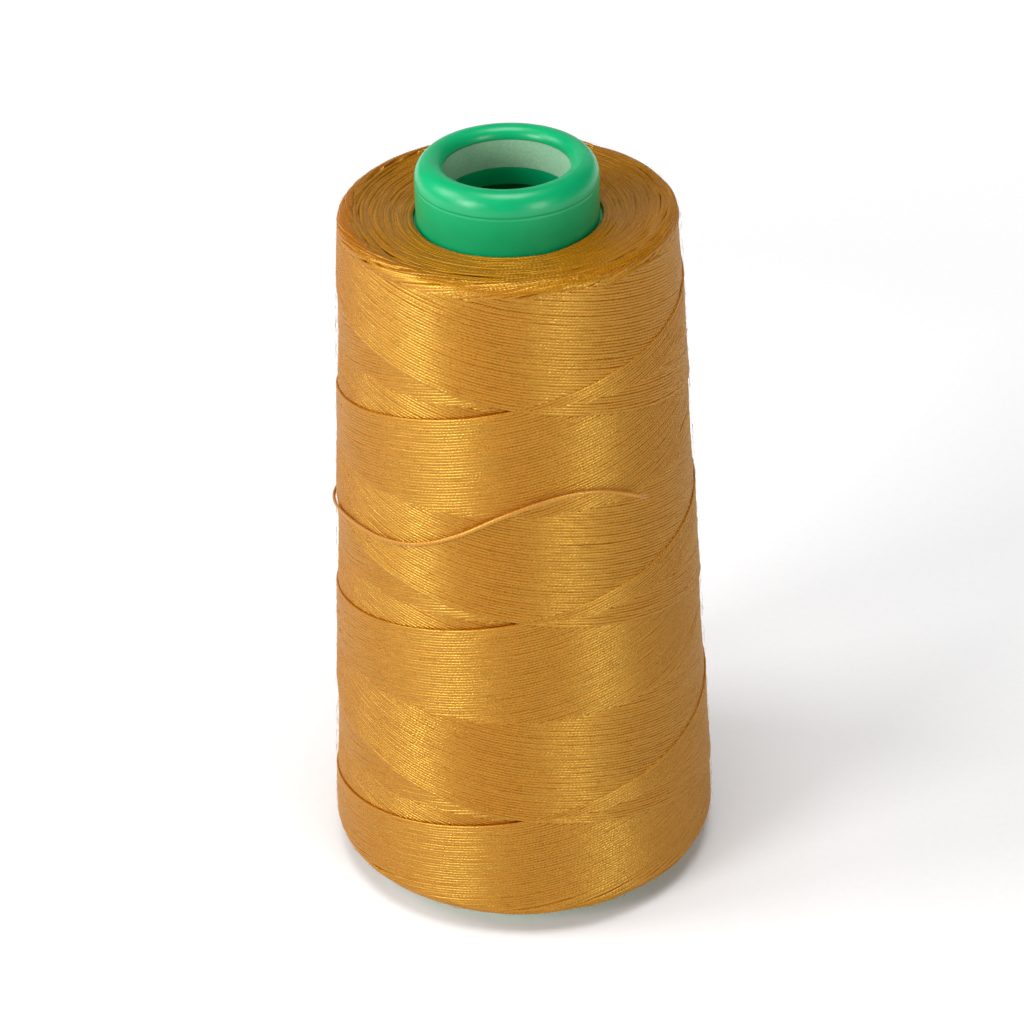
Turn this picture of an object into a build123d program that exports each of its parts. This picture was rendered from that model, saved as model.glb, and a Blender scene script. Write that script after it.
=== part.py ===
from build123d import *
from math import cos, hypot, pi, radians, sin, sqrt, tan
import os

# Cone of sewing thread: a hollow moulded cone, the thread cross-wound on it, the thread's
# free end lying on the winding, and a paper ticket inside the cone's nose.
# Millimetres, +Z up. The origin is on the axis, on the surface that the cone stands on.
# The front is towards -Y. An azimuth is measured from the front towards +X.

# Cone core
CONE_HEIGHT = 115.6
COLLAR_R = 13.0          # outside of the bare collar above the thread
COLLAR_FOOT_Z = 106.2    # where the collar meets the winding surface
LIP_RADIAL = 2.3         # rounding of the collar's outer lip
LIP_AXIAL = 3.0
HOLE_R = 9.0
MOUTH_RADIAL = 1.6       # rounding from the collar's top into the hole
MOUTH_AXIAL = 1.5
GROOVE_DEPTH = 0.05      # fine groove round the collar, just under the lip
GROOVE_HEIGHT = 0.6
TICKET_RECESS_R = 9.2    # shallow recess that the ticket is stuck in
TICKET_RECESS_TOP = 114.0
TICKET_RECESS_FOOT = 109.5
NOSE_FOOT_Z = 107.0      # lower end of the nose's bore
CHAMBER_TOP_R = 11.7     # the hollow's radius just under the nose
CHAMBER_TOP_Z = 104.3
WINDING_TOP_R = 13.4     # the winding surface, small end
WINDING_FOOT_R = 21.4    # the winding surface, large end
FOOT_R = 24.8            # flange that the cone stands on
FOOT_HEIGHT = 2.3
FOOT_ROUND = 0.6
LAND_R = 19.6            # straight inside wall of the large end
LAND_HEIGHT = 7.0

# Wound thread
PACKAGE_FOOT_Z = 3.0
PACKAGE_FOOT_R = 29.5
PACKAGE_TOP_Z = 108.0
PACKAGE_TOP_R = 24.1
PACKAGE_COLLAR_Z = 106.8  # height of the winding where it meets the collar
PACKAGE_FOOT_ROUND = 2.4
PACKAGE_TOP_ROUND = 1.5
WINDING_GAP = 0.12       # first layer's stand-off from the core

# Paper ticket inside the nose
TICKET_THICKNESS = 0.12
TICKET_GLUE_GAP = 0.04
TICKET_TOP_Z = 113.9
TICKET_HEIGHT = 4.3
TICKET_SWEEP = 330.0     # degrees of the bore that the strip covers

# Free end of the thread
THREAD_DIAMETER = 0.5
FILLET_SHARE = 0.45      # part of the shorter run that one arc takes
# Azimuth in degrees, height, and the stand-off of the thread's centre from the winding.
TAIL_ROUTE = [
    (-119.0, 57.9, 0.50),
    (-106.0, 59.2, 0.65),
    (-91.0, 60.9, 0.75),
    (-75.0, 63.2, 0.70),
    (-60.0, 64.4, 0.60),
    (-46.0, 64.8, 0.60),
    (-32.0, 66.2, 0.60),
    (-18.0, 69.2, 0.60),
    (-5.0, 72.8, 0.60),
    (8.0, 74.9, 0.60),
    (20.0, 75.6, 0.65),
    (31.0, 74.5, 0.80),
    (40.0, 72.2, 1.00),
]


def winding_radius(height):
    """Outer radius of the wound thread at a height."""
    share = (height - PACKAGE_FOOT_Z) / (PACKAGE_TOP_Z - PACKAGE_FOOT_Z)
    return PACKAGE_FOOT_R + share * (PACKAGE_TOP_R - PACKAGE_FOOT_R)


def turned(outline):
    """Solid of revolution about Z from a closed outline in the XZ plane."""
    return revolve(Plane.XZ * make_face(outline), Axis.Z)


def cone_core():
    """Hollow cone with a thick rounded collar, a bored nose and a flanged foot."""
    lip_centre = (COLLAR_R - LIP_RADIAL, CONE_HEIGHT - LIP_AXIAL)
    outer_lip = EllipticalCenterArc(lip_centre, LIP_RADIAL, LIP_AXIAL, arc_size=90)
    mouth_centre = (HOLE_R + MOUTH_RADIAL, CONE_HEIGHT - MOUTH_AXIAL)
    mouth = EllipticalCenterArc(mouth_centre, MOUTH_RADIAL, MOUTH_AXIAL, start_angle=90, arc_size=90)
    ring_top = Line(outer_lip @ 1, mouth @ 0)
    bore = Polyline(
        mouth @ 1,
        (HOLE_R, TICKET_RECESS_TOP),
        (TICKET_RECESS_R, TICKET_RECESS_TOP),
        (TICKET_RECESS_R, TICKET_RECESS_FOOT),
        (HOLE_R, TICKET_RECESS_FOOT),
        (HOLE_R, NOSE_FOOT_Z),
        (CHAMBER_TOP_R, CHAMBER_TOP_Z),
        (LAND_R, LAND_HEIGHT),
        (LAND_R, 0),
    )
    foot_edge = FOOT_R - FOOT_ROUND
    foot = Polyline(bore @ 1, (foot_edge, 0))
    lower_round = CenterArc((foot_edge, FOOT_ROUND), FOOT_ROUND, -90, 90)
    flange = Line(lower_round @ 1, (FOOT_R, FOOT_HEIGHT - FOOT_ROUND))
    upper_round = CenterArc((foot_edge, FOOT_HEIGHT - FOOT_ROUND), FOOT_ROUND, 0, 90)
    groove_top = CONE_HEIGHT - LIP_AXIAL
    outside = Polyline(
        upper_round @ 1,
        (WINDING_FOOT_R, FOOT_HEIGHT),
        (WINDING_TOP_R, COLLAR_FOOT_Z),
        (COLLAR_R, COLLAR_FOOT_Z),
        (COLLAR_R, groove_top - GROOVE_HEIGHT),
        (COLLAR_R - GROOVE_DEPTH, groove_top - GROOVE_HEIGHT / 2),
        outer_lip @ 0,
    )
    outline = [outer_lip, ring_top, mouth, bore, foot, lower_round, flange, upper_round, outside]
    return turned(outline)


def core_radius(height):
    """Radius of the bare winding surface at a height."""
    share = (height - FOOT_HEIGHT) / (COLLAR_FOOT_Z - FOOT_HEIGHT)
    return WINDING_FOOT_R + share * (WINDING_TOP_R - WINDING_FOOT_R)


def thread_package():
    """All the wound layers as one hollow body with rounded rims and a dished top."""
    outline = Polyline(
        (core_radius(PACKAGE_FOOT_Z) + WINDING_GAP, PACKAGE_FOOT_Z),
        (PACKAGE_FOOT_R, PACKAGE_FOOT_Z),
        (PACKAGE_TOP_R, PACKAGE_TOP_Z),
        (WINDING_TOP_R + WINDING_GAP, PACKAGE_COLLAR_Z),
        (WINDING_TOP_R + WINDING_GAP, COLLAR_FOOT_Z),
        close=True,
    )
    face = make_face(outline)
    foot_rim = face.vertices().sort_by(Axis.X)[-1]
    face = fillet(foot_rim, PACKAGE_FOOT_ROUND)
    top_rim = face.vertices().sort_by(Axis.Y)[-1]
    face = fillet(top_rim, PACKAGE_TOP_ROUND)
    return revolve(Plane.XZ * face, Axis.Z)


def inner_ticket():
    """Blank paper strip curled round the inside of the nose, open at the front."""
    outside = TICKET_RECESS_R - TICKET_GLUE_GAP
    inside = outside - TICKET_THICKNESS
    foot = TICKET_TOP_Z - TICKET_HEIGHT
    outline = Polyline(
        (inside, foot),
        (outside, foot),
        (outside, TICKET_TOP_Z),
        (inside, TICKET_TOP_Z),
        close=True,
    )
    start = -90 + (360 - TICKET_SWEEP) / 2
    strip = revolve(Plane.XZ * make_face(outline), Axis.Z, TICKET_SWEEP)
    return Rot(0, 0, start) * strip


def tail_points():
    """Corners of the free end's route, as vectors."""
    points = []
    for azimuth, height, stand_off in TAIL_ROUTE:
        radius = winding_radius(height) + stand_off
        angle = radians(azimuth)
        points.append(Vector(radius * sin(angle), -radius * cos(angle), height))
    return points


def tail_radii(points):
    """Largest arc that the two runs at each inner corner leave room for."""
    radii = []
    for before, corner, after in zip(points, points[1:], points[2:]):
        arriving = corner - before
        leaving = after - corner
        turn = radians(arriving.get_angle(leaving))
        shorter = min(arriving.length, leaving.length)
        radii.append(FILLET_SHARE * shorter / tan(turn / 2))
    return radii


def thread_tail():
    """Thread's free end: one round strand along straight runs joined by arcs."""
    points = tail_points()
    radii = tail_radii(points)
    path = FilletPolyline(*points, radius=radii)
    start = Plane(origin=path @ 0, z_dir=path % 0)
    strand = sweep(start * Circle(THREAD_DIAMETER / 2), path=path)
    section = pi * THREAD_DIAMETER ** 2 / 4
    print("thread_tail arc radii mm", [round(radius, 1) for radius in radii])
    print("thread_tail length mm", round(path.length, 2))
    print("thread_tail volume ratio", round(strand.volume / (section * path.length), 4))
    return strand


def main():
    os.makedirs("parts", exist_ok=True)
    nodes = {
        "cone_core": cone_core(),
        "thread_package": thread_package(),
        "inner_ticket": inner_ticket(),
        "thread_tail": thread_tail(),
    }
    for name, shape in nodes.items():
        export_step(shape, os.path.join("parts", name + ".step"))


main()
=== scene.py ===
from math import cos, pi, radians, sin

import bpy
import numpy as np
from mathutils import Matrix, Vector


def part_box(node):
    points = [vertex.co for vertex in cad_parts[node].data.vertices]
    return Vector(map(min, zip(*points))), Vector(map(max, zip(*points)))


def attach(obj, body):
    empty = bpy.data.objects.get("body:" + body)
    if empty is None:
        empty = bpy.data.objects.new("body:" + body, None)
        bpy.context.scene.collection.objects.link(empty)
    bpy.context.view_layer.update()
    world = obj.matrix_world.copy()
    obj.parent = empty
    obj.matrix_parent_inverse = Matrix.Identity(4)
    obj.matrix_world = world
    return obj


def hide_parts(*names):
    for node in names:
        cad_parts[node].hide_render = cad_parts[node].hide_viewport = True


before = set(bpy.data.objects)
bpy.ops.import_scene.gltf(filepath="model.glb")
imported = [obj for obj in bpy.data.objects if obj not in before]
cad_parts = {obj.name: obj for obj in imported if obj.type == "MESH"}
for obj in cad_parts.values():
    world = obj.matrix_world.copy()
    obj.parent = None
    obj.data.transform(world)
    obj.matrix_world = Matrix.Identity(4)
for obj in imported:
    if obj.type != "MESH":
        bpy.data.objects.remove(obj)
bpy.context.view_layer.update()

# A cone of sewing thread: a hollow plastic core with a paper ticket in its nose, the thread
# cross-wound on it, and the thread's free end. The core and the ticket keep their CAD shape.
# The object's lengths are millimetres, and MM turns them into metres where a mesh, the
# cord or the camera is made. The floor, the lamps and the materials are in metres.
# +Z is up and the front is towards -Y. An azimuth is measured from the front towards +X.
MM = 0.001
PACKAGE_LOW, PACKAGE_HIGH = (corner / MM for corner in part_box("thread_package"))

# Outline of the wound package
SWELL = 0.15             # how far the outline stands past the CAD package
TAPER = 5.45             # how much smaller the top's radius is than the foot's
DISH = 1.2               # how far the top face drops towards the collar
FOOT_Z = PACKAGE_LOW.z
TOP_Z = PACKAGE_HIGH.z + SWELL
FOOT_R = PACKAGE_HIGH.x + SWELL
TOP_R = FOOT_R - TAPER
FOOT_ROUND = (2.7, 2.1)  # radii of the foot rim, outwards and upwards
TOP_ROUND = (1.7, 1.4)   # radii of the top rim
COLLAR_R = 13.1
COLLAR_MEET_Z = TOP_Z - DISH
CORE_FOOT_R = 21.6
FOOT_INNER = (CORE_FOOT_R + 0.4, FOOT_Z + 0.5)    # inner edge of the foot face: radius, height
TOP_INNER = (COLLAR_R + 0.3, COLLAR_MEET_Z)       # inner edge of the top face
OUTLINE_STEP = 0.05      # spacing of the points along the outline

# One strand: a flattened tube with the relief of two twisted plies
STRAND_R = 0.30
TWIST_PITCH = 1.16       # one turn of the two plies
PLY_RELIEF = 0.10        # depth of the two-ply twist, as a share of the strand's radius
RING_STEP = 0.17                         # spacing of the rings of corners
RING_ANGLES = np.radians([-80, -40, 0, 40, 80, 180])             # a ring's corners; 0 is outwards
RING_FLATTEN = np.array([1.10, 0.96, 0.83, 0.96, 1.10, 0.45])    # their radii, in strand radii
MOST_QUADS = 93000       # in one piece, which keeps it under the exporter's limit

# Cross winding
PITCH = 34.1             # height that one turn climbs
STRANDS = 76             # neighbouring strands that fill one pitch, in each direction
LAYER = 0.5              # thickness that one full cycle of both directions adds
CROSSING_Z = 89.15       # where the two newest strands cross at the front
TURN_SOFTNESS = 1.3      # how softly a strand turns back at the package's ends
DIVE = 0.34              # how deep a strand tucks under the one that crosses it
LEAST_DIVE = 0.06
END_DIVE = DIVE + 0.2    # how deep it sinks where it turns back
TUCK = 1.1               # length over which it tucks under
TUCK_LEAD = 0.12         # share of the tuck that is made before the other strands begin
HIDDEN_RUN = 1.4         # length that goes on out of sight under the other strands
BOUNDARY_JITTER = 0.02   # how uneven the line is where one direction goes under the other
SIDE_WANDER = [(0.016, 7), (0.022, 22), (0.022, 60)]    # amplitude and wavelength of each wave
LIFT_WANDER = [(0.012, 6), (0.018, 20)]
END_SCATTER = 0.45       # scatter of the places where the strands turn back
END_FADE = 2.5           # distance from the end over which that scatter fades
PHASE_STEP = 0.9         # from one strand's twist to the next one's, in radians
PHASE_SCATTER = 0.5
THICKNESS_RANGE = (0.96, 1.06)
WINDING_SEED = 7

# Turns at the package's ends: arcs over each rim, which flatten into rings on the end faces
RIM_OVERLAP = 2.6        # how far the turns at each rim reach back over the side
CLIMB_SLOPE = 0.205      # a strand's climb for each length round the package
ARC_BEND = ([0, 3], [1.0, 0.15])                     # share of the climb kept, by depth
ARC_SHARE = ([-RIM_OVERLAP, -0.6], [0.25, 1.0])      # share of the arcs kept, by depth
ARCS_IN_RING = (9, 13)
ARC_SPACING = (0.32, 0.42)
ARC_STEP = RING_STEP * 1.1
ARC_HALF = (9, 15)       # half of an arc's length
ARC_SOFTNESS = (0.8, 2.0)
ARC_SLANT = 0.10
ARC_SHIFT = 0.08
ARC_LIFT = (0.10, 0.04)  # mean and scatter of an arc's height over the outline
ARC_SINK = 0.45          # how far its two ends sink
ARC_PHASES = 6           # range of its twist's phase, in radians
TOP_SEED = 11
FOOT_SEED = 13

# Bed of older layers under the visible strands
BED_DEPTH = 0.5
BED_COLLAR_GAP = 0.35

# Fuzz: short fibres that stand off the thread
HAIRS = 3700
HAIR_R = 0.016
HAIR_STEPS = 7           # rings of corners along a fibre
HAIR_CORNERS = np.radians([-90, 0, 90, 180])
HAIR_HALF = (0.4, 1.3)   # half of a fibre's length
HAIR_HEADING = 0.45      # scatter of its heading, in radians
HAIR_CURL = 0.35
HAIR_BASE = 0.16         # height of its ends over the outline
HAIR_STAND = (0.02, 0.16)    # how much higher its middle is
HAIR_TILT = 0.04
HAIR_TAPER = 0.6         # how much thinner its ends are than its middle
HAIR_SEED = 17

# Numbers that the thread's material reads where there is no strand: on the bed and the fibres
FLAT_TONE = (("tone", 0.7), ("twist", 0.0), ("side", 0.0))

# Fibres at the cut end
FRAYED_FIBRES = 16
FRAYED_R = 2.4 * HAIR_R
FRAYED_ROOT = 0.8        # length that starts inside the strand
FRAYED_REACH = (0.8, 2.2)
FRAYED_FROM = 0.3        # distance before the cut where they begin to part
FRAYED_SPREAD = 0.16     # scatter sideways, for each length
FRAYED_RISE = 0.08
FRAYED_START = (0.10, 0.08)    # scatter of the roots, sideways and outwards
FRAYED_BEND = 1.4        # power by which they part, so above 1 they curve
FRAYED_TIP = 0.4         # a tip's thickness, as a share of the root's
FRAYED_SEED = 23

# Free end of the thread. Each row of its route holds an azimuth in degrees, a height, and
# the stand-off of the thread's centre from the winding.
TAIL_STEP = 0.12
TAIL_TONE = 0.8
TAIL_THICKNESS = 1.1     # in strand radii
TAIL_ROUTE = [
    (-119.0, 57.9, 0.50),
    (-106.0, 59.2, 0.65),
    (-91.0, 60.9, 0.75),
    (-75.0, 63.2, 0.70),
    (-60.0, 64.4, 0.60),
    (-46.0, 64.8, 0.60),
    (-32.0, 66.2, 0.60),
    (-18.0, 69.2, 0.60),
    (-5.0, 72.8, 0.60),
    (8.0, 74.9, 0.60),
    (20.0, 75.6, 0.65),
    (31.0, 74.5, 0.80),
    (40.0, 72.2, 1.00),
]

# Colours of the thread's fibres, as linear red, green and blue. The ply groove's colour is painted shade,
# and the strand edge's is painted light that lifts the shade between the rows.
FIBRE_DARK = (0.220, 0.048, 0.0)
FIBRE_LIGHT = (0.400, 0.098, 0.0)
PLY_GROOVE_PAINTED_SHADE = (0.125, 0.026, 0.0)
STRAND_EDGE_PAINTED_LIGHT = (0.55, 0.150, 0.0)
LIGHTER_STRAND = (0.42, 0.105, 0.0)
LINT = (0.62, 0.27, 0.03)
PALE_FIBRE = (0.80, 0.50, 0.22, 1)
THREAD_GLOSS = (1.0, 0.70, 0.13, 1)

# Noise along the strands
STRAND_SHIFT = 57.0      # moves the noise on, so that no two strands share their streaks
UNEVEN_STRETCH = 0.16    # places along a strand for each radian of its twist
STREAK_STRETCH = 0.12
STREAK_ROUND = 3.2       # places round a strand for each radian
PLY_UNEVEN = 1.3         # how far the plies' angle strays, in radians

# Colours of the core, the ticket and the floor
CORE_GREENS = ((0.0, 0.33, 0.120, 1), (0.0, 0.40, 0.147, 1))
# The ticket's paper colours, its blotch too, are dim greens: painted green bounce light and shade from
# the core round it.
PAPER_GREENS_PAINTED_SHADE = ((0.27, 0.50, 0.31, 1), (0.34, 0.60, 0.38, 1))
PAPER_BLOTCH = (0.20, 0.44, 0.28, 1)
FLOOR_WHITES = ((0.86, 0.86, 0.865, 1), (0.88, 0.88, 0.885, 1))
WARM_WHITE = (1.0, 0.99, 0.985, 1)

# Studio
FLOOR_HALF = 3.0
WORLD_LIGHT = 0.11
WORLD_SEEN = 0.95        # the world's strength where the camera sees it directly
AIM = Vector((0, 0, 0.06))    # the lamps point at the middle of the package
# Each lamp: name, azimuth, elevation, distance, size, watts
LAMPS = [
    ("key_light", -52, 22, 1.2, (0.4, 0.5), 8.3),
    ("side_light", -88, 35, 1.2, (0.5, 0.6), 6.4),
    ("fill_light", 38, 14, 1.2, (0.4, 0.5), 4.4),
    ("top_light", 0, 85, 1.2, (0.6, 0.6), 9.0),
    ("back_light", 180, 20, 1.5, (2.0, 0.8), 2.0),
]

# Camera, fitted to the outlines of the collar, the package and the foot
CAMERA_PLACE = (-0.68, -391.7, 303.85)
CAMERA_TILT = radians(32.21)
CAMERA_ROLL = radians(-1.72)
SENSOR_WIDTH = 36.0
LENS = 108.98


# ---------------------------------------------------------------- meshes

def mesh_from(name, points, faces, attributes=()):
    """Smooth mesh from points in millimetres and quads; an attribute has one number per point."""
    mesh = bpy.data.meshes.new(name)
    points = np.asarray(points, np.float64) * MM
    faces = np.asarray(faces, np.int32)
    mesh.vertices.add(len(points))
    mesh.vertices.foreach_set("co", points.ravel().astype(np.float32))
    mesh.loops.add(faces.size)
    mesh.loops.foreach_set("vertex_index", faces.ravel())
    mesh.polygons.add(len(faces))
    mesh.polygons.foreach_set("loop_start", np.arange(0, faces.size, faces.shape[1], dtype=np.int32))
    mesh.polygons.foreach_set("use_smooth", np.ones(len(faces), bool))
    for label, values in attributes:
        layer = mesh.attributes.new(label, "FLOAT", "POINT")
        layer.data.foreach_set("value", np.asarray(values, np.float32).ravel())
    mesh.update()
    mesh.validate()
    return mesh


def add_piece(name, mesh, material, node):
    """Puts a mesh into the scene as a piece of the object, in place of a CAD node."""
    piece = bpy.data.objects.new(name, mesh)
    bpy.context.scene.collection.objects.link(piece)
    mesh.materials.append(material)
    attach(piece, "root")
    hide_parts(node)
    return piece


def lathe(name, outline, segments=192):
    """Closed ring-shaped body: a closed outline of (radius, height) turned round the axis."""
    outline = np.asarray(outline, float)
    angles = np.linspace(0, 2 * pi, segments, endpoint=False)
    rings = [np.column_stack([r * np.sin(angles), -r * np.cos(angles), np.full(segments, z)])
             for r, z in outline]
    points = np.vstack(rings)
    faces = []
    count = len(outline)
    for row in range(count):
        below, above = row * segments, (row + 1) % count * segments
        for column in range(segments):
            nearby = (column + 1) % segments
            faces.append((below + column, below + nearby, above + nearby, above + column))
    attributes = [(label, np.full(len(points), value)) for label, value in FLAT_TONE]
    return mesh_from(name, points, faces, attributes)


# ---------------------------------------------------------------- outline of the package

def arc(centre, radii, start, end, count=24):
    """Points of an elliptical arc in the meridian plane."""
    angles = np.radians(np.linspace(start, end, count))
    return np.column_stack([centre[0] + radii[0] * np.cos(angles), centre[1] + radii[1] * np.sin(angles)])


def side_corners():
    """The outline from the foot face round the foot rim, up the side and round the top rim."""
    lean = np.degrees(np.arctan2(FOOT_R - TOP_R, TOP_Z - FOOT_Z))
    foot = arc((FOOT_R - FOOT_ROUND[0], FOOT_Z + FOOT_ROUND[1]), FOOT_ROUND, -90, lean)
    top = arc((TOP_R - TOP_ROUND[0], TOP_Z - TOP_ROUND[1]), TOP_ROUND, lean, 90)
    return foot, top


def meridian():
    """The outline by arc length: length, radius, height and the outward normal's two parts."""
    foot, top = side_corners()
    rough = np.vstack([FOOT_INNER, foot, top, TOP_INNER])
    lengths = np.concatenate([[0], np.cumsum(np.hypot(*np.diff(rough, axis=0).T))])
    along = np.arange(0, lengths[-1], OUTLINE_STEP)
    radius = np.interp(along, lengths, rough[:, 0])
    height = np.interp(along, lengths, rough[:, 1])
    slope_r, slope_z = np.gradient(radius, along), np.gradient(height, along)
    size = np.hypot(slope_r, slope_z)
    return along, radius, height, slope_z / size, -slope_r / size


ALONG, RADIUS, HEIGHT, NORMAL_R, NORMAL_Z = meridian()
FOOT_FACE = FOOT_R - FOOT_ROUND[0] - FOOT_INNER[0]
TOP_FACE = TOP_R - TOP_ROUND[0] - TOP_INNER[0]
WIND_START = FOOT_FACE + 0.9                # where the strands turn back at the foot rim
WIND_END = ALONG[-1] - TOP_FACE - 0.3       # and at the top rim
TURNS = (WIND_END - WIND_START + 2 * TURN_SOFTNESS) / PITCH


def on_outline(along):
    """Radius, height and outward normal of the outline at an arc length."""
    return [np.interp(along, ALONG, column) for column in (RADIUS, HEIGHT, NORMAL_R, NORMAL_Z)]


def climb(turn):
    """Arc length reached after a number of turns from the foot, rounded off at both ends."""
    up, down = PITCH * turn, PITCH * (TURNS - turn)
    soft = TURN_SOFTNESS
    return WIND_START - soft + np.sqrt(up ** 2 + soft ** 2) + down - np.sqrt(down ** 2 + soft ** 2)


def turn_at_height(height):
    """The number of turns at which a strand passes a height on the side."""
    turns = np.linspace(0, TURNS, 4000)
    return float(np.interp(height, on_outline(climb(turns))[1], turns))


def around(azimuth_turns, radius, height):
    """Points from cylindrical places; the azimuth is in turns from the front."""
    angle = 2 * pi * azimuth_turns
    return np.column_stack([radius * np.sin(angle), -radius * np.cos(angle), height])


def smoothstep(x):
    """Smooth step from 0 to 1."""
    x = np.clip(x, 0, 1)
    return x * x * (3 - 2 * x)


def wander(rng, length, waves):
    """Slow random wander along a strand: a sum of (amplitude, wavelength) waves."""
    total = np.zeros_like(length)
    for amplitude, wavelength in waves:
        stretch = wavelength * rng.uniform(0.7, 1.4)
        total += amplitude * rng.normal() * np.sin(2 * pi * (length / stretch + rng.random()))
    return total


# ---------------------------------------------------------------- strands

def tube(points, outward, length, phase, tone, thickness=1.0):
    """Closed two-ply strand along points: its rings, and the numbers its material reads."""
    tangent = np.gradient(points, axis=0)
    tangent /= np.linalg.norm(tangent, axis=1)[:, None]
    sideways = np.cross(outward, tangent)
    sideways /= np.linalg.norm(sideways, axis=1)[:, None]
    outward = np.cross(tangent, sideways)
    twist = 2 * pi * length / TWIST_PITCH + phase
    ply = np.cos(2 * (RING_ANGLES[None, :] - twist[:, None]))
    size = STRAND_R * thickness * RING_FLATTEN * (1 + PLY_RELIEF * ply)
    ring = (outward[:, None, :] * (size * np.cos(RING_ANGLES))[:, :, None]
            + sideways[:, None, :] * (size * np.sin(RING_ANGLES))[:, :, None])
    rings = points[:, None, :] + ring
    numbers = np.stack([
        np.full(ply.shape, tone),
        np.repeat(twist[:, None], len(RING_ANGLES), 1),
        np.repeat(RING_ANGLES[None, :], len(length), 0),
    ], -1)
    return rings.reshape(-1, 3), numbers.reshape(-1, 3)


def tube_faces(ring_count):
    """Quads of one closed strand: its wall and its two end caps."""
    sides = len(RING_ANGLES)
    row = np.arange(ring_count - 1)[:, None] * sides
    column = np.arange(sides)[None, :]
    nearby = (column + 1) % sides
    wall = np.stack([row + column, row + nearby, row + nearby + sides, row + column + sides], -1)
    caps = []
    for first, order in ((0, 1), ((ring_count - 1) * sides, -1)):
        caps += [[first + k for k in corners][::order] for corners in ((3, 2, 1, 0), (5, 4, 3, 0))]
    return np.vstack([wall.reshape(-1, 4), caps])


def join(tubes):
    """Points, faces and attributes of many strands as one mesh."""
    points = np.vstack([rings for rings, _ in tubes])
    numbers = np.vstack([values for _, values in tubes])
    faces, start = [], 0
    for rings, _ in tubes:
        faces.append(tube_faces(len(rings) // len(RING_ANGLES)) + start)
        start += len(rings)
    labels = ("tone", "twist", "side")
    return points, np.vstack(faces), list(zip(labels, numbers.T))


def add_strands(name, tubes, material):
    """Joins strands into pieces of at most MOST_QUADS faces, in the order given."""
    sizes = np.cumsum([len(rings) for rings, _ in tubes])
    count = int(np.ceil(sizes[-1] / MOST_QUADS))
    share = np.minimum((sizes - 1) * count // sizes[-1], count - 1)
    for number in range(count):
        own = [t for t, k in zip(tubes, share) if k == number]
        label = f"{name}_{number + 1}" if count > 1 else name
        add_piece(label, mesh_from(label, *join(own)), material, "thread_package")


def visible_runs(shown):
    """First and last index of each stretch that is on top of the other direction."""
    edges = np.flatnonzero(np.diff(np.concatenate([[0], shown.astype(int), [0]])))
    return zip(edges[::2], edges[1::2] - 1)


def strand_runs(direction, number, crossing_turn, rng):
    """The stretches of one strand that lie on top, tucked under at both their ends."""
    age = (number + 0.5) / STRANDS
    step = RING_STEP / (2 * pi * (FOOT_R + TOP_R) / 2)
    turn = np.arange(0, TURNS, step)
    own_way = turn - crossing_turn
    azimuth = age + direction * own_way
    other_age = np.mod(azimuth + direction * own_way, 1)
    shown = other_age > age - rng.uniform(0, BOUNDARY_JITTER)
    along = climb(turn)
    flat_length = np.concatenate([[0], np.cumsum(np.hypot(
        np.diff(azimuth) * 2 * pi * on_outline(along)[0][1:], np.diff(along)))])
    near_end = np.minimum(turn, TURNS - turn) * PITCH
    along = along + wander(rng, flat_length, SIDE_WANDER)
    inward = np.where(turn < TURNS / 2, 1, -1)
    along = along + rng.normal(0, END_SCATTER) * np.exp(-near_end / END_FADE) * inward
    lift = LAYER * (0.5 - age) - STRAND_R + wander(rng, flat_length, LIFT_WANDER)
    phase = PHASE_STEP * number + rng.normal(0, PHASE_SCATTER)
    tone = rng.random()
    thickness = rng.uniform(*THICKNESS_RANGE)
    spare = int(round(HIDDEN_RUN / RING_STEP))
    found = []
    for first, last in visible_runs(shown):
        if last - first < 2:
            continue
        start, stop = max(first - spare, 0), min(last + spare, len(turn) - 1)
        part = slice(start, stop + 1)
        dive = np.zeros(stop + 1 - start)
        here = flat_length[part]
        for edge, inside in ((first, 1), (last, -1)):
            outside = edge - inside
            if 0 <= outside < len(turn):
                depth = max(LEAST_DIVE, DIVE - LAYER * (age - other_age[outside]))
                beyond = (flat_length[edge] - here) * inside / TUCK + TUCK_LEAD
            else:
                depth = END_DIVE
                beyond = 1 - (here - flat_length[edge]) * inside / (2 * TUCK)
            dive = np.maximum(dive, depth * smoothstep(beyond))
        radius, height, normal_r, normal_z = on_outline(along[part])
        up = lift[part] - dive
        points = around(azimuth[part], radius + normal_r * up, height + normal_z * up)
        outward = around(azimuth[part], normal_r, normal_z)
        found.append((height.mean(), tube(points, outward, here, phase, tone, thickness)))
    return found


def wind_side(material):
    """All the strands of the package's side, rising and falling to the right."""
    crossing_turn = turn_at_height(CROSSING_Z)
    rng = np.random.default_rng(WINDING_SEED)
    for name, direction in (("rising_turns", 1), ("falling_turns", -1)):
        runs = []
        for number in range(STRANDS):
            runs += strand_runs(direction, number, crossing_turn, rng)
        runs.sort(key=lambda run: run[0])
        add_strands(name, [strand for _, strand in runs], material)


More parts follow.
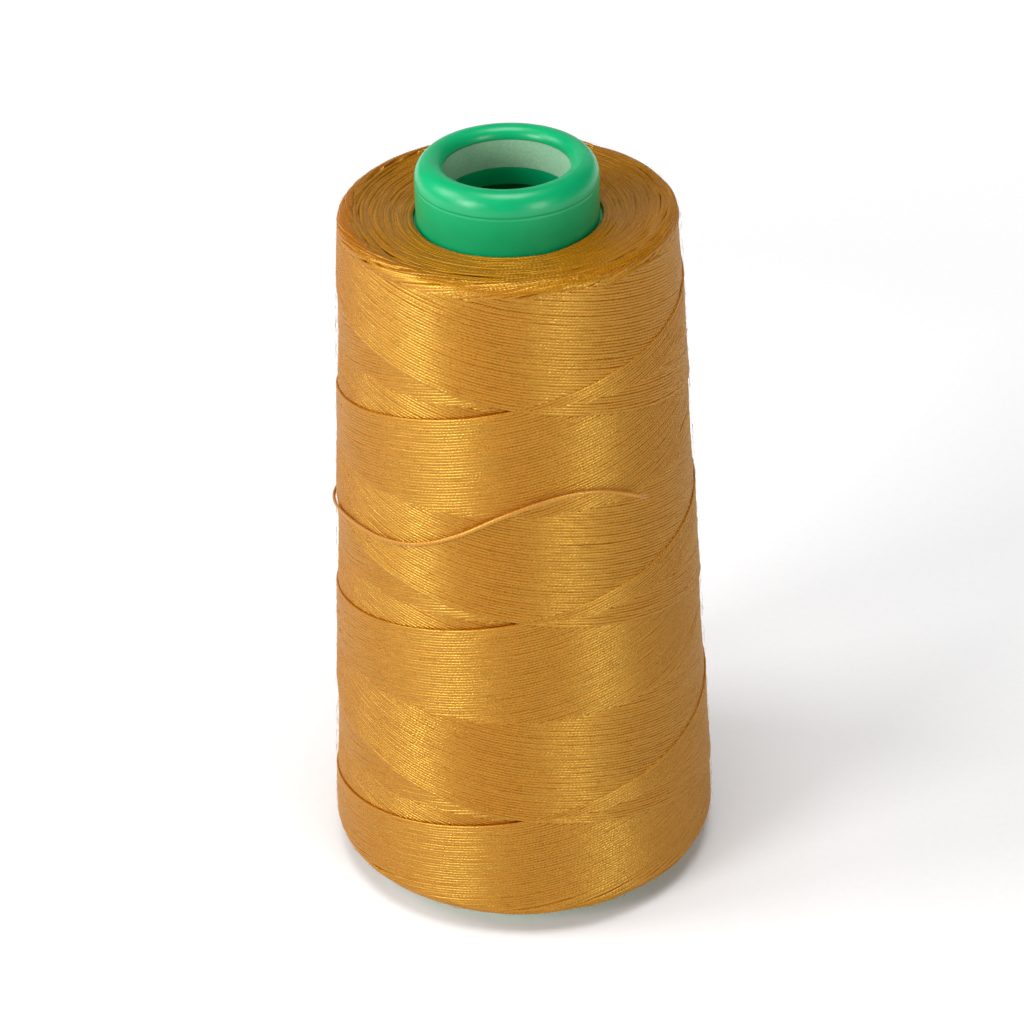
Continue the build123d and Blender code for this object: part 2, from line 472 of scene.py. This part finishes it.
def end_turns(name, rim, inner, material, seed):
    """Strands turning back at one end: arcs on the rim that flatten into rings on the end face."""
    rng = np.random.default_rng(seed)
    inward = 1 if inner > rim else -1
    tubes = []
    depth = -RIM_OVERLAP
    while depth < abs(inner - rim):
        bend = np.interp(depth, *ARC_BEND)
        kept = np.interp(depth, *ARC_SHARE)
        radius = on_outline(rim + inward * depth)[0]
        for place in rng.random() + np.arange(0, 1, 1 / rng.integers(*ARCS_IN_RING)):
            half = rng.uniform(*ARC_HALF)
            length = np.arange(-half, half, ARC_STEP)
            share = length / half
            soft = rng.uniform(*ARC_SOFTNESS)
            fall = np.sqrt((length * CLIMB_SLOPE) ** 2 + soft ** 2) - soft
            slant = rng.normal(0, ARC_SLANT) * share + rng.normal(0, ARC_SHIFT)
            own = rim + inward * (depth - bend * fall + slant)
            lift = rng.normal(*ARC_LIFT) - ARC_SINK * share ** 2 - STRAND_R
            outline_r, outline_z, normal_r, normal_z = on_outline(own)
            azimuth = place + length / (2 * pi * radius)
            points = around(azimuth, outline_r + normal_r * lift, outline_z + normal_z * lift)
            outward = around(azimuth, normal_r, normal_z)
            if rng.random() < kept:
                tubes.append(tube(points, outward, length, rng.random() * ARC_PHASES, rng.random()))
        depth += rng.uniform(*ARC_SPACING)
    add_strands(name, tubes, material)


def winding_bed(material):
    """The older layers under the visible strands, as one closed body round the core."""
    foot, top = side_corners()
    side = []
    for r, z in np.vstack([foot, top]):
        nearest = np.argmin(np.hypot(RADIUS - r, HEIGHT - z))
        side.append((r - BED_DEPTH * NORMAL_R[nearest], z - BED_DEPTH * NORMAL_Z[nearest]))
    outline = [
        (CORE_FOOT_R, FOOT_INNER[1] + BED_DEPTH),
        *side,
        (COLLAR_R + BED_COLLAR_GAP, COLLAR_MEET_Z - BED_DEPTH),
    ]
    add_piece("winding_bed", lathe("winding_bed", outline), material, "thread_package")


def hair(line, outward, radii):
    """Corner points of one thin fibre along a line."""
    tangent = np.gradient(line, axis=0)
    tangent /= np.linalg.norm(tangent, axis=1)[:, None]
    sideways = np.cross(outward, tangent)
    ring = (outward[:, None, :] * np.cos(HAIR_CORNERS)[None, :, None]
            + sideways[:, None, :] * np.sin(HAIR_CORNERS)[None, :, None])
    return (line[:, None, :] + ring * radii[:, None, None]).reshape(-1, 3)


def add_hairs(name, hairs, material, node):
    """One piece from many fibres, each closed at both its ends."""
    sides = len(HAIR_CORNERS)
    faces = []
    for number in range(len(hairs)):
        first = number * HAIR_STEPS * sides
        last = first + (HAIR_STEPS - 1) * sides
        for here in range(first, last, sides):
            for k in range(sides):
                nearby = (k + 1) % sides
                faces.append((here + k, here + nearby, here + nearby + sides, here + k + sides))
        faces.append((first + 3, first + 2, first + 1, first))
        faces.append((last, last + 1, last + 2, last + 3))
    points = np.vstack(hairs)
    attributes = [(label, np.full(len(points), value)) for label, value in FLAT_TONE]
    add_piece(name, mesh_from(name, points, faces, attributes), material, node)


def fuzz(material):
    """Loose fibre ends that stand off the wound thread, as short thin arcs."""
    rng = np.random.default_rng(HAIR_SEED)
    lowest, highest = WIND_START - 1.0, ALONG[-1] - 0.5
    hairs = []
    for _ in range(HAIRS):
        middle = rng.uniform(lowest, highest)
        half = rng.uniform(*HAIR_HALF)
        way = np.linspace(-half, half, HAIR_STEPS)
        heading = rng.normal(0, HAIR_HEADING)
        curl = rng.normal(0, HAIR_CURL)
        own = middle + way * sin(heading) + curl * (way ** 2 - half ** 2)
        outline_r, outline_z, normal_r, normal_z = on_outline(own)
        azimuth = rng.random() + way * cos(heading) / (2 * pi * outline_r[HAIR_STEPS // 2])
        stand = rng.uniform(*HAIR_STAND)
        up = HAIR_BASE + stand * (1 - (way / half) ** 2) + rng.normal(0, HAIR_TILT) * way
        line = around(azimuth, outline_r + normal_r * up, outline_z + normal_z * up)
        outward = around(azimuth, normal_r, normal_z)
        hairs.append(hair(line, outward, HAIR_R * (1 - HAIR_TAPER * (way / half) ** 2)))
    add_hairs("fuzz", hairs, material, "thread_package")


# ---------------------------------------------------------------- free end

def winding_radius(height):
    """Outer radius of the wound thread at a height on its side."""
    return FOOT_R + (height - FOOT_Z) / (TOP_Z - FOOT_Z) * (TOP_R - FOOT_R)


def tail_route():
    """The route's points in millimetres."""
    places = []
    for azimuth, height, stand_off in TAIL_ROUTE:
        radius = winding_radius(height) + stand_off
        places.append(Vector((radius * sin(radians(azimuth)), -radius * cos(radians(azimuth)), height)))
    return places


def read_spline(route):
    """Points along the smooth NURBS line that has the route as its control points."""
    curve = bpy.data.curves.new("tail_line", "CURVE")
    curve.dimensions = "3D"
    curve.resolution_u = 48
    spline = curve.splines.new("NURBS")
    spline.points.add(len(route) - 1)
    for point, place in zip(spline.points, route):
        point.co = (*(place * MM), 1)
    spline.order_u = 3
    spline.use_endpoint_u = True
    line = bpy.data.objects.new("tail_line", curve)
    bpy.context.scene.collection.objects.link(line)
    bpy.context.view_layer.update()
    mesh = bpy.data.meshes.new_from_object(line)
    points = np.array([vertex.co for vertex in mesh.vertices]) / MM
    bpy.data.objects.remove(line)
    bpy.data.curves.remove(curve)
    bpy.data.meshes.remove(mesh)
    return points


def spaced(points, step):
    """The same line with evenly spaced points, and the length at each."""
    length = np.concatenate([[0], np.cumsum(np.linalg.norm(np.diff(points, axis=0), axis=1))])
    even = np.linspace(0, length[-1], int(length[-1] / step))
    return np.column_stack([np.interp(even, length, column) for column in points.T]), even


def frayed_end(points, outward, material):
    """The fibres that spread from the cut end of the thread."""
    rng = np.random.default_rng(FRAYED_SEED)
    ahead = points[-1] - points[-6]
    ahead /= np.linalg.norm(ahead)
    across = np.cross(outward[-1], ahead)
    hairs = []
    for _ in range(FRAYED_FIBRES):
        reach = np.linspace(-FRAYED_ROOT, rng.uniform(*FRAYED_REACH), HAIR_STEPS)
        spread = rng.normal(0, FRAYED_SPREAD)
        rise = rng.normal(0, FRAYED_RISE)
        sideways, outwards = FRAYED_START
        start = across * rng.normal(0, sideways) + outward[-1] * rng.normal(0, outwards)
        open_part = np.maximum(reach + FRAYED_FROM, 0) ** FRAYED_BEND
        line = (points[-1] + start + reach[:, None] * ahead
                + open_part[:, None] * (spread * across + rise * outward[-1]))
        radii = FRAYED_R * np.linspace(1.0, FRAYED_TIP, HAIR_STEPS)
        hairs.append(hair(line, np.repeat(outward[-1:], HAIR_STEPS, 0), radii))
    add_hairs("frayed_end", hairs, material, "thread_tail")


def loose_end(material, fibre_material):
    """The thread's free end, and the fibres at its cut end."""
    points, length = spaced(read_spline(tail_route()), TAIL_STEP)
    outward = points * [1, 1, 0]
    outward /= np.linalg.norm(outward, axis=1)[:, None]
    strand = tube(points, outward, length, phase=0.0, tone=TAIL_TONE, thickness=TAIL_THICKNESS)
    mesh = mesh_from("loose_end", *join([strand]))
    piece = add_piece("loose_end", mesh, material, "thread_tail")
    frayed_end(points, outward, fibre_material)


# ---------------------------------------------------------------- materials

class Nodes:
    """A small helper that adds shader nodes and links them."""

    def __init__(self, name):
        self.material = bpy.data.materials.new(name)
        self.material.use_nodes = True
        self.tree = self.material.node_tree
        self.shader = self.tree.nodes["Principled BSDF"]

    def add(self, kind, inputs=None, **settings):
        """Adds a node; an input is a number, a colour or another node's output."""
        node = self.tree.nodes.new(kind)
        for key, value in settings.items():
            setattr(node, key, value)
        for key, value in (inputs or {}).items():
            self.plug(value, node.inputs[key])
        return node

    def plug(self, value, socket):
        """Links a socket to an output, or sets its constant value."""
        if isinstance(value, bpy.types.NodeSocket):
            self.tree.links.new(value, socket)
        else:
            socket.default_value = value

    def maths(self, operation, first, second=0.0):
        return self.add("ShaderNodeMath", {0: first, 1: second}, operation=operation).outputs[0]

    def mix(self, share, first, second):
        node = self.add("ShaderNodeMix", data_type="RGBA")
        for index, value in ((0, share), (6, first), (7, second)):
            self.plug(value, node.inputs[index])
        return node.outputs[2]

    def spread(self, value, low, high, to_low=0.0, to_high=1.0):
        """Maps the range low to high onto the range to_low to to_high, and holds it there."""
        inputs = {"Value": value, "From Min": low, "From Max": high, "To Min": to_low, "To Max": to_high}
        return self.add("ShaderNodeMapRange", inputs).outputs[0]

    def noise(self, vector, scale, detail=3.0, rough=0.55):
        inputs = {"Scale": scale, "Detail": detail, "Roughness": rough}
        node = self.add("ShaderNodeTexNoise", inputs)
        self.plug(vector, node.inputs["Vector"])
        return node.outputs["Fac"]

    def vector(self, x, y, z=0.0):
        """Joins three numbers into one vector."""
        return self.add("ShaderNodeCombineXYZ", {0: x, 1: y, 2: z}).outputs[0]

    def read(self, label):
        """Reads a number that mesh_from stored on the mesh's points."""
        return self.add("ShaderNodeAttribute", attribute_name=label).outputs["Fac"]

    def place(self):
        return self.add("ShaderNodeTexCoord").outputs["Object"]

    def bump(self, height, strength, distance):
        inputs = {"Height": height, "Strength": strength, "Distance": distance}
        return self.add("ShaderNodeBump", inputs).outputs[0]

    def finish(self, **values):
        """Sets the shader's own inputs and gives the material."""
        for key, value in values.items():
            self.plug(value, self.shader.inputs[key.replace("_", " ")])
        return self.material


def thread_material(name, gloss, filter_colour, paleness=0.0):
    """Golden brown spun polyester: two twisted plies, fibre streaks, soft coloured gloss.

    The mesh gives each point its strand's tone, the angle of its twist, and its place round
    the strand's section, which is 0 at the crown.
    """

    def shade(colour):
        return (*(own * share for own, share in zip(colour, filter_colour)), 1)

    nodes = Nodes(name)
    tone, twist, side = nodes.read("tone"), nodes.read("twist"), nodes.read("side")
    shift = nodes.maths("MULTIPLY", tone, STRAND_SHIFT)
    coarse = nodes.maths("MULTIPLY", twist, UNEVEN_STRETCH)
    uneven = nodes.noise(nodes.vector(coarse, shift), 1.0, 2.0)
    along = nodes.maths("MULTIPLY", twist, STREAK_STRETCH)
    across = nodes.maths("MULTIPLY", side, STREAK_ROUND)
    streak = nodes.noise(nodes.vector(along, across, shift), 1.0, 4.0, 0.65)
    # The cosine is 1 on the crown of a ply and -1 in the groove between the two
    ply_turn = nodes.maths("MULTIPLY", twist, 2.0)
    turn = nodes.maths("SUBTRACT", nodes.maths("MULTIPLY", side, 2.0), ply_turn)
    stray = nodes.spread(uneven, 0.3, 0.7, -PLY_UNEVEN, PLY_UNEVEN)
    ply = nodes.maths("COSINE", nodes.maths("ADD", turn, stray))
    patch = nodes.noise(nodes.place(), 60.0, 2.0)
    lint = nodes.noise(nodes.place(), 2300.0, 2.0, 0.6)
    edge = nodes.maths("ABSOLUTE", side)
    colour = nodes.mix(nodes.spread(streak, 0.35, 0.65), shade(FIBRE_DARK), shade(FIBRE_LIGHT))
    # Painted shade: the grooves between the two plies are darkened in the colour.
    colour = nodes.mix(nodes.spread(ply, -1.0, 0.6, 0.75, 0.0), colour, shade(PLY_GROOVE_PAINTED_SHADE))
    # Painted light: the colour grows lighter towards each strand's edges, to lift the shade in the
    # valleys between rows.
    colour = nodes.mix(nodes.spread(edge, 0.5, 1.3, 0.0, 0.75), colour, shade(STRAND_EDGE_PAINTED_LIGHT))
    colour = nodes.mix(nodes.spread(tone, 0.0, 1.0, 0.0, 0.18), colour, shade(LIGHTER_STRAND))
    colour = nodes.mix(nodes.spread(patch, 0.35, 0.65, 0.0, 0.10), colour, shade(LIGHTER_STRAND))
    colour = nodes.mix(nodes.spread(lint, 0.62, 0.80, 0.0, 0.35), colour, shade(LINT))
    if paleness:
        colour = nodes.mix(paleness, colour, PALE_FIBRE)
    relief = nodes.maths("MULTIPLY", ply, 0.25)
    height = nodes.maths("ADD", nodes.maths("MULTIPLY", streak, 0.6), relief)
    # The crowns of the plies and scattered specks are glossier than the rest
    clump = nodes.maths("ADD", nodes.maths("MULTIPLY", lint, 2.0), relief)
    return nodes.finish(
        Base_Color=colour,
        Roughness=nodes.spread(clump, 0.5, 1.5, 0.48, 0.24),
        IOR=2.1,
        Specular_IOR_Level=gloss,
        Specular_Tint=THREAD_GLOSS,
        Normal=nodes.bump(height, 0.45, 0.00006),
    )


def plastic_material():
    """Green moulded plastic: a little translucent, softly glossy, with faint flow marks."""
    nodes = Nodes("core_plastic")
    place = nodes.place()
    cloud = nodes.noise(place, 70.0, 3.0)
    fine = nodes.noise(place, 1500.0, 3.0)
    colour = nodes.mix(nodes.spread(cloud, 0.35, 0.65), *CORE_GREENS)
    height = nodes.maths("ADD", nodes.maths("MULTIPLY", cloud, 0.9), nodes.maths("MULTIPLY", fine, 0.1))
    return nodes.finish(
        Base_Color=colour,
        Roughness=nodes.spread(fine, 0.3, 0.7, 0.28, 0.34),
        Specular_IOR_Level=0.4,
        Normal=nodes.bump(height, 0.05, 0.0001),
        Subsurface_Weight=0.25,
        Subsurface_Radius=(0.3, 1.0, 0.5),
        Subsurface_Scale=0.0015,
    )


def paper_material():
    """Blank uncoated paper with visible fibres."""
    nodes = Nodes("ticket_paper")
    place = nodes.place()
    pulp = nodes.noise(place, 2600.0, 4.0)
    blotch = nodes.noise(place, 260.0, 2.0)
    # Painted green bounce light and shade: the paper's colours are tinted green and darkened.
    colour = nodes.mix(nodes.spread(pulp, 0.3, 0.7), *PAPER_GREENS_PAINTED_SHADE)
    colour = nodes.mix(nodes.spread(blotch, 0.4, 0.6, 0.0, 0.2), colour, PAPER_BLOTCH)
    normal = nodes.bump(pulp, 0.3, 0.00005)
    return nodes.finish(Base_Color=colour, Roughness=0.85, Normal=normal)


def floor_material():
    """Matt white paper, which glows further out, where the lamps don't reach it."""
    nodes = Nodes("floor")
    place = nodes.place()
    grain = nodes.noise(place, 900.0, 3.0)
    colour = nodes.mix(nodes.spread(grain, 0.3, 0.7), *FLOOR_WHITES)
    distance = nodes.add("ShaderNodeVectorMath", {0: place}, operation="LENGTH").outputs["Value"]
    return nodes.finish(
        Base_Color=colour,
        Roughness=0.9,
        Specular_IOR_Level=0.1,
        Emission_Color=WARM_WHITE,
        Emission_Strength=nodes.spread(distance, 0.20, 0.90, 0.07, 0.80),
    )


# ---------------------------------------------------------------- studio

def add_floor():
    """Square of white paper that the cone stands on."""
    mesh = bpy.data.meshes.new("floor")
    half = FLOOR_HALF
    corners = [(-half, -half, 0), (half, -half, 0), (half, half, 0), (-half, half, 0)]
    mesh.from_pydata(corners, [], [(0, 1, 2, 3)])
    mesh.materials.append(floor_material())
    floor = bpy.data.objects.new("floor", mesh)
    bpy.context.scene.collection.objects.link(floor)


def add_softbox(name, azimuth, elevation, distance, size, power):
    """Rectangular area light aimed at the middle of the package; its angles are in degrees."""
    azimuth, elevation = radians(azimuth), radians(elevation)
    outward = (sin(azimuth) * cos(elevation), -cos(azimuth) * cos(elevation), sin(elevation))
    place = AIM + distance * Vector(outward)
    data = bpy.data.lights.new(name, "AREA")
    data.shape = "RECTANGLE"
    data.size, data.size_y = size
    data.energy = power
    lamp = bpy.data.objects.new(name, data)
    lamp.location = place
    lamp.visible_camera = False
    lamp.rotation_mode = "QUATERNION"
    lamp.rotation_quaternion = (AIM - place).to_track_quat("-Z", "Y")
    bpy.context.scene.collection.objects.link(lamp)


def add_world(strength, seen_strength):
    """White surroundings: dim as light and in reflections, bright where the camera sees them."""
    world = bpy.data.worlds.new("studio")
    world.use_nodes = True
    nodes, links = world.node_tree.nodes, world.node_tree.links
    background = nodes["Background"]
    background.inputs["Color"].default_value = WARM_WHITE
    seen = nodes.new("ShaderNodeLightPath").outputs["Is Camera Ray"]
    mix = nodes.new("ShaderNodeMapRange")
    mix.inputs["To Min"].default_value = strength
    mix.inputs["To Max"].default_value = seen_strength
    links.new(seen, mix.inputs["Value"])
    links.new(mix.outputs[0], background.inputs["Strength"])
    bpy.context.scene.world = world


def add_camera():
    """Camera above the front, tilted down, with a slight roll."""
    forward = Vector((0, cos(CAMERA_TILT), -sin(CAMERA_TILT)))
    right = Vector((1, 0, 0))
    up = right.cross(forward)
    camera_right = cos(CAMERA_ROLL) * right + sin(CAMERA_ROLL) * up
    camera_up = cos(CAMERA_ROLL) * up - sin(CAMERA_ROLL) * right
    data = bpy.data.cameras.new("camera")
    data.sensor_width = SENSOR_WIDTH
    data.lens = LENS
    data.clip_start = 0.01
    camera = bpy.data.objects.new("camera", data)
    turn = Matrix((camera_right, camera_up, -forward)).transposed().to_4x4()
    camera.matrix_world = Matrix.Translation(Vector(CAMERA_PLACE) * MM) @ turn
    bpy.context.scene.collection.objects.link(camera)
    bpy.context.scene.camera = camera


def build():
    """Materials, pieces, studio and camera."""
    add_camera()
    thread = thread_material("thread", gloss=1.0, filter_colour=(1.0, 1.0, 1.0))
    # Painted light: the end faces get a lighter, yellower copy of the thread's colours to lift them.
    thread_ends_painted_light = thread_material("thread_ends_painted_light", gloss=0.3, filter_colour=(1.08, 1.65, 1.0))
    loose_thread = thread_material(
        "loose_thread", gloss=0.8, filter_colour=(1.1, 1.2, 1.0), paleness=0.10)
    fibres = thread_material(
        "thread_fibres", gloss=0.4, filter_colour=(1.0, 1.0, 1.0), paleness=0.60)
    plastic = plastic_material()
    paper = paper_material()
    for node, material in (("cone_core", plastic), ("inner_ticket", paper)):
        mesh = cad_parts[node].data
        mesh.materials.clear()
        mesh.materials.append(material)
    winding_bed(thread)
    wind_side(thread)
    end_turns("top_turns", WIND_END, ALONG[-1], thread_ends_painted_light, TOP_SEED)
    end_turns("foot_turns", WIND_START, ALONG[0], thread_ends_painted_light, FOOT_SEED)
    fuzz(thread)
    loose_end(loose_thread, fibres)
    add_floor()
    add_world(WORLD_LIGHT, WORLD_SEEN)
    for lamp in LAMPS:
        add_softbox(*lamp)
    bpy.context.scene.view_settings.view_transform = "Standard"


build()
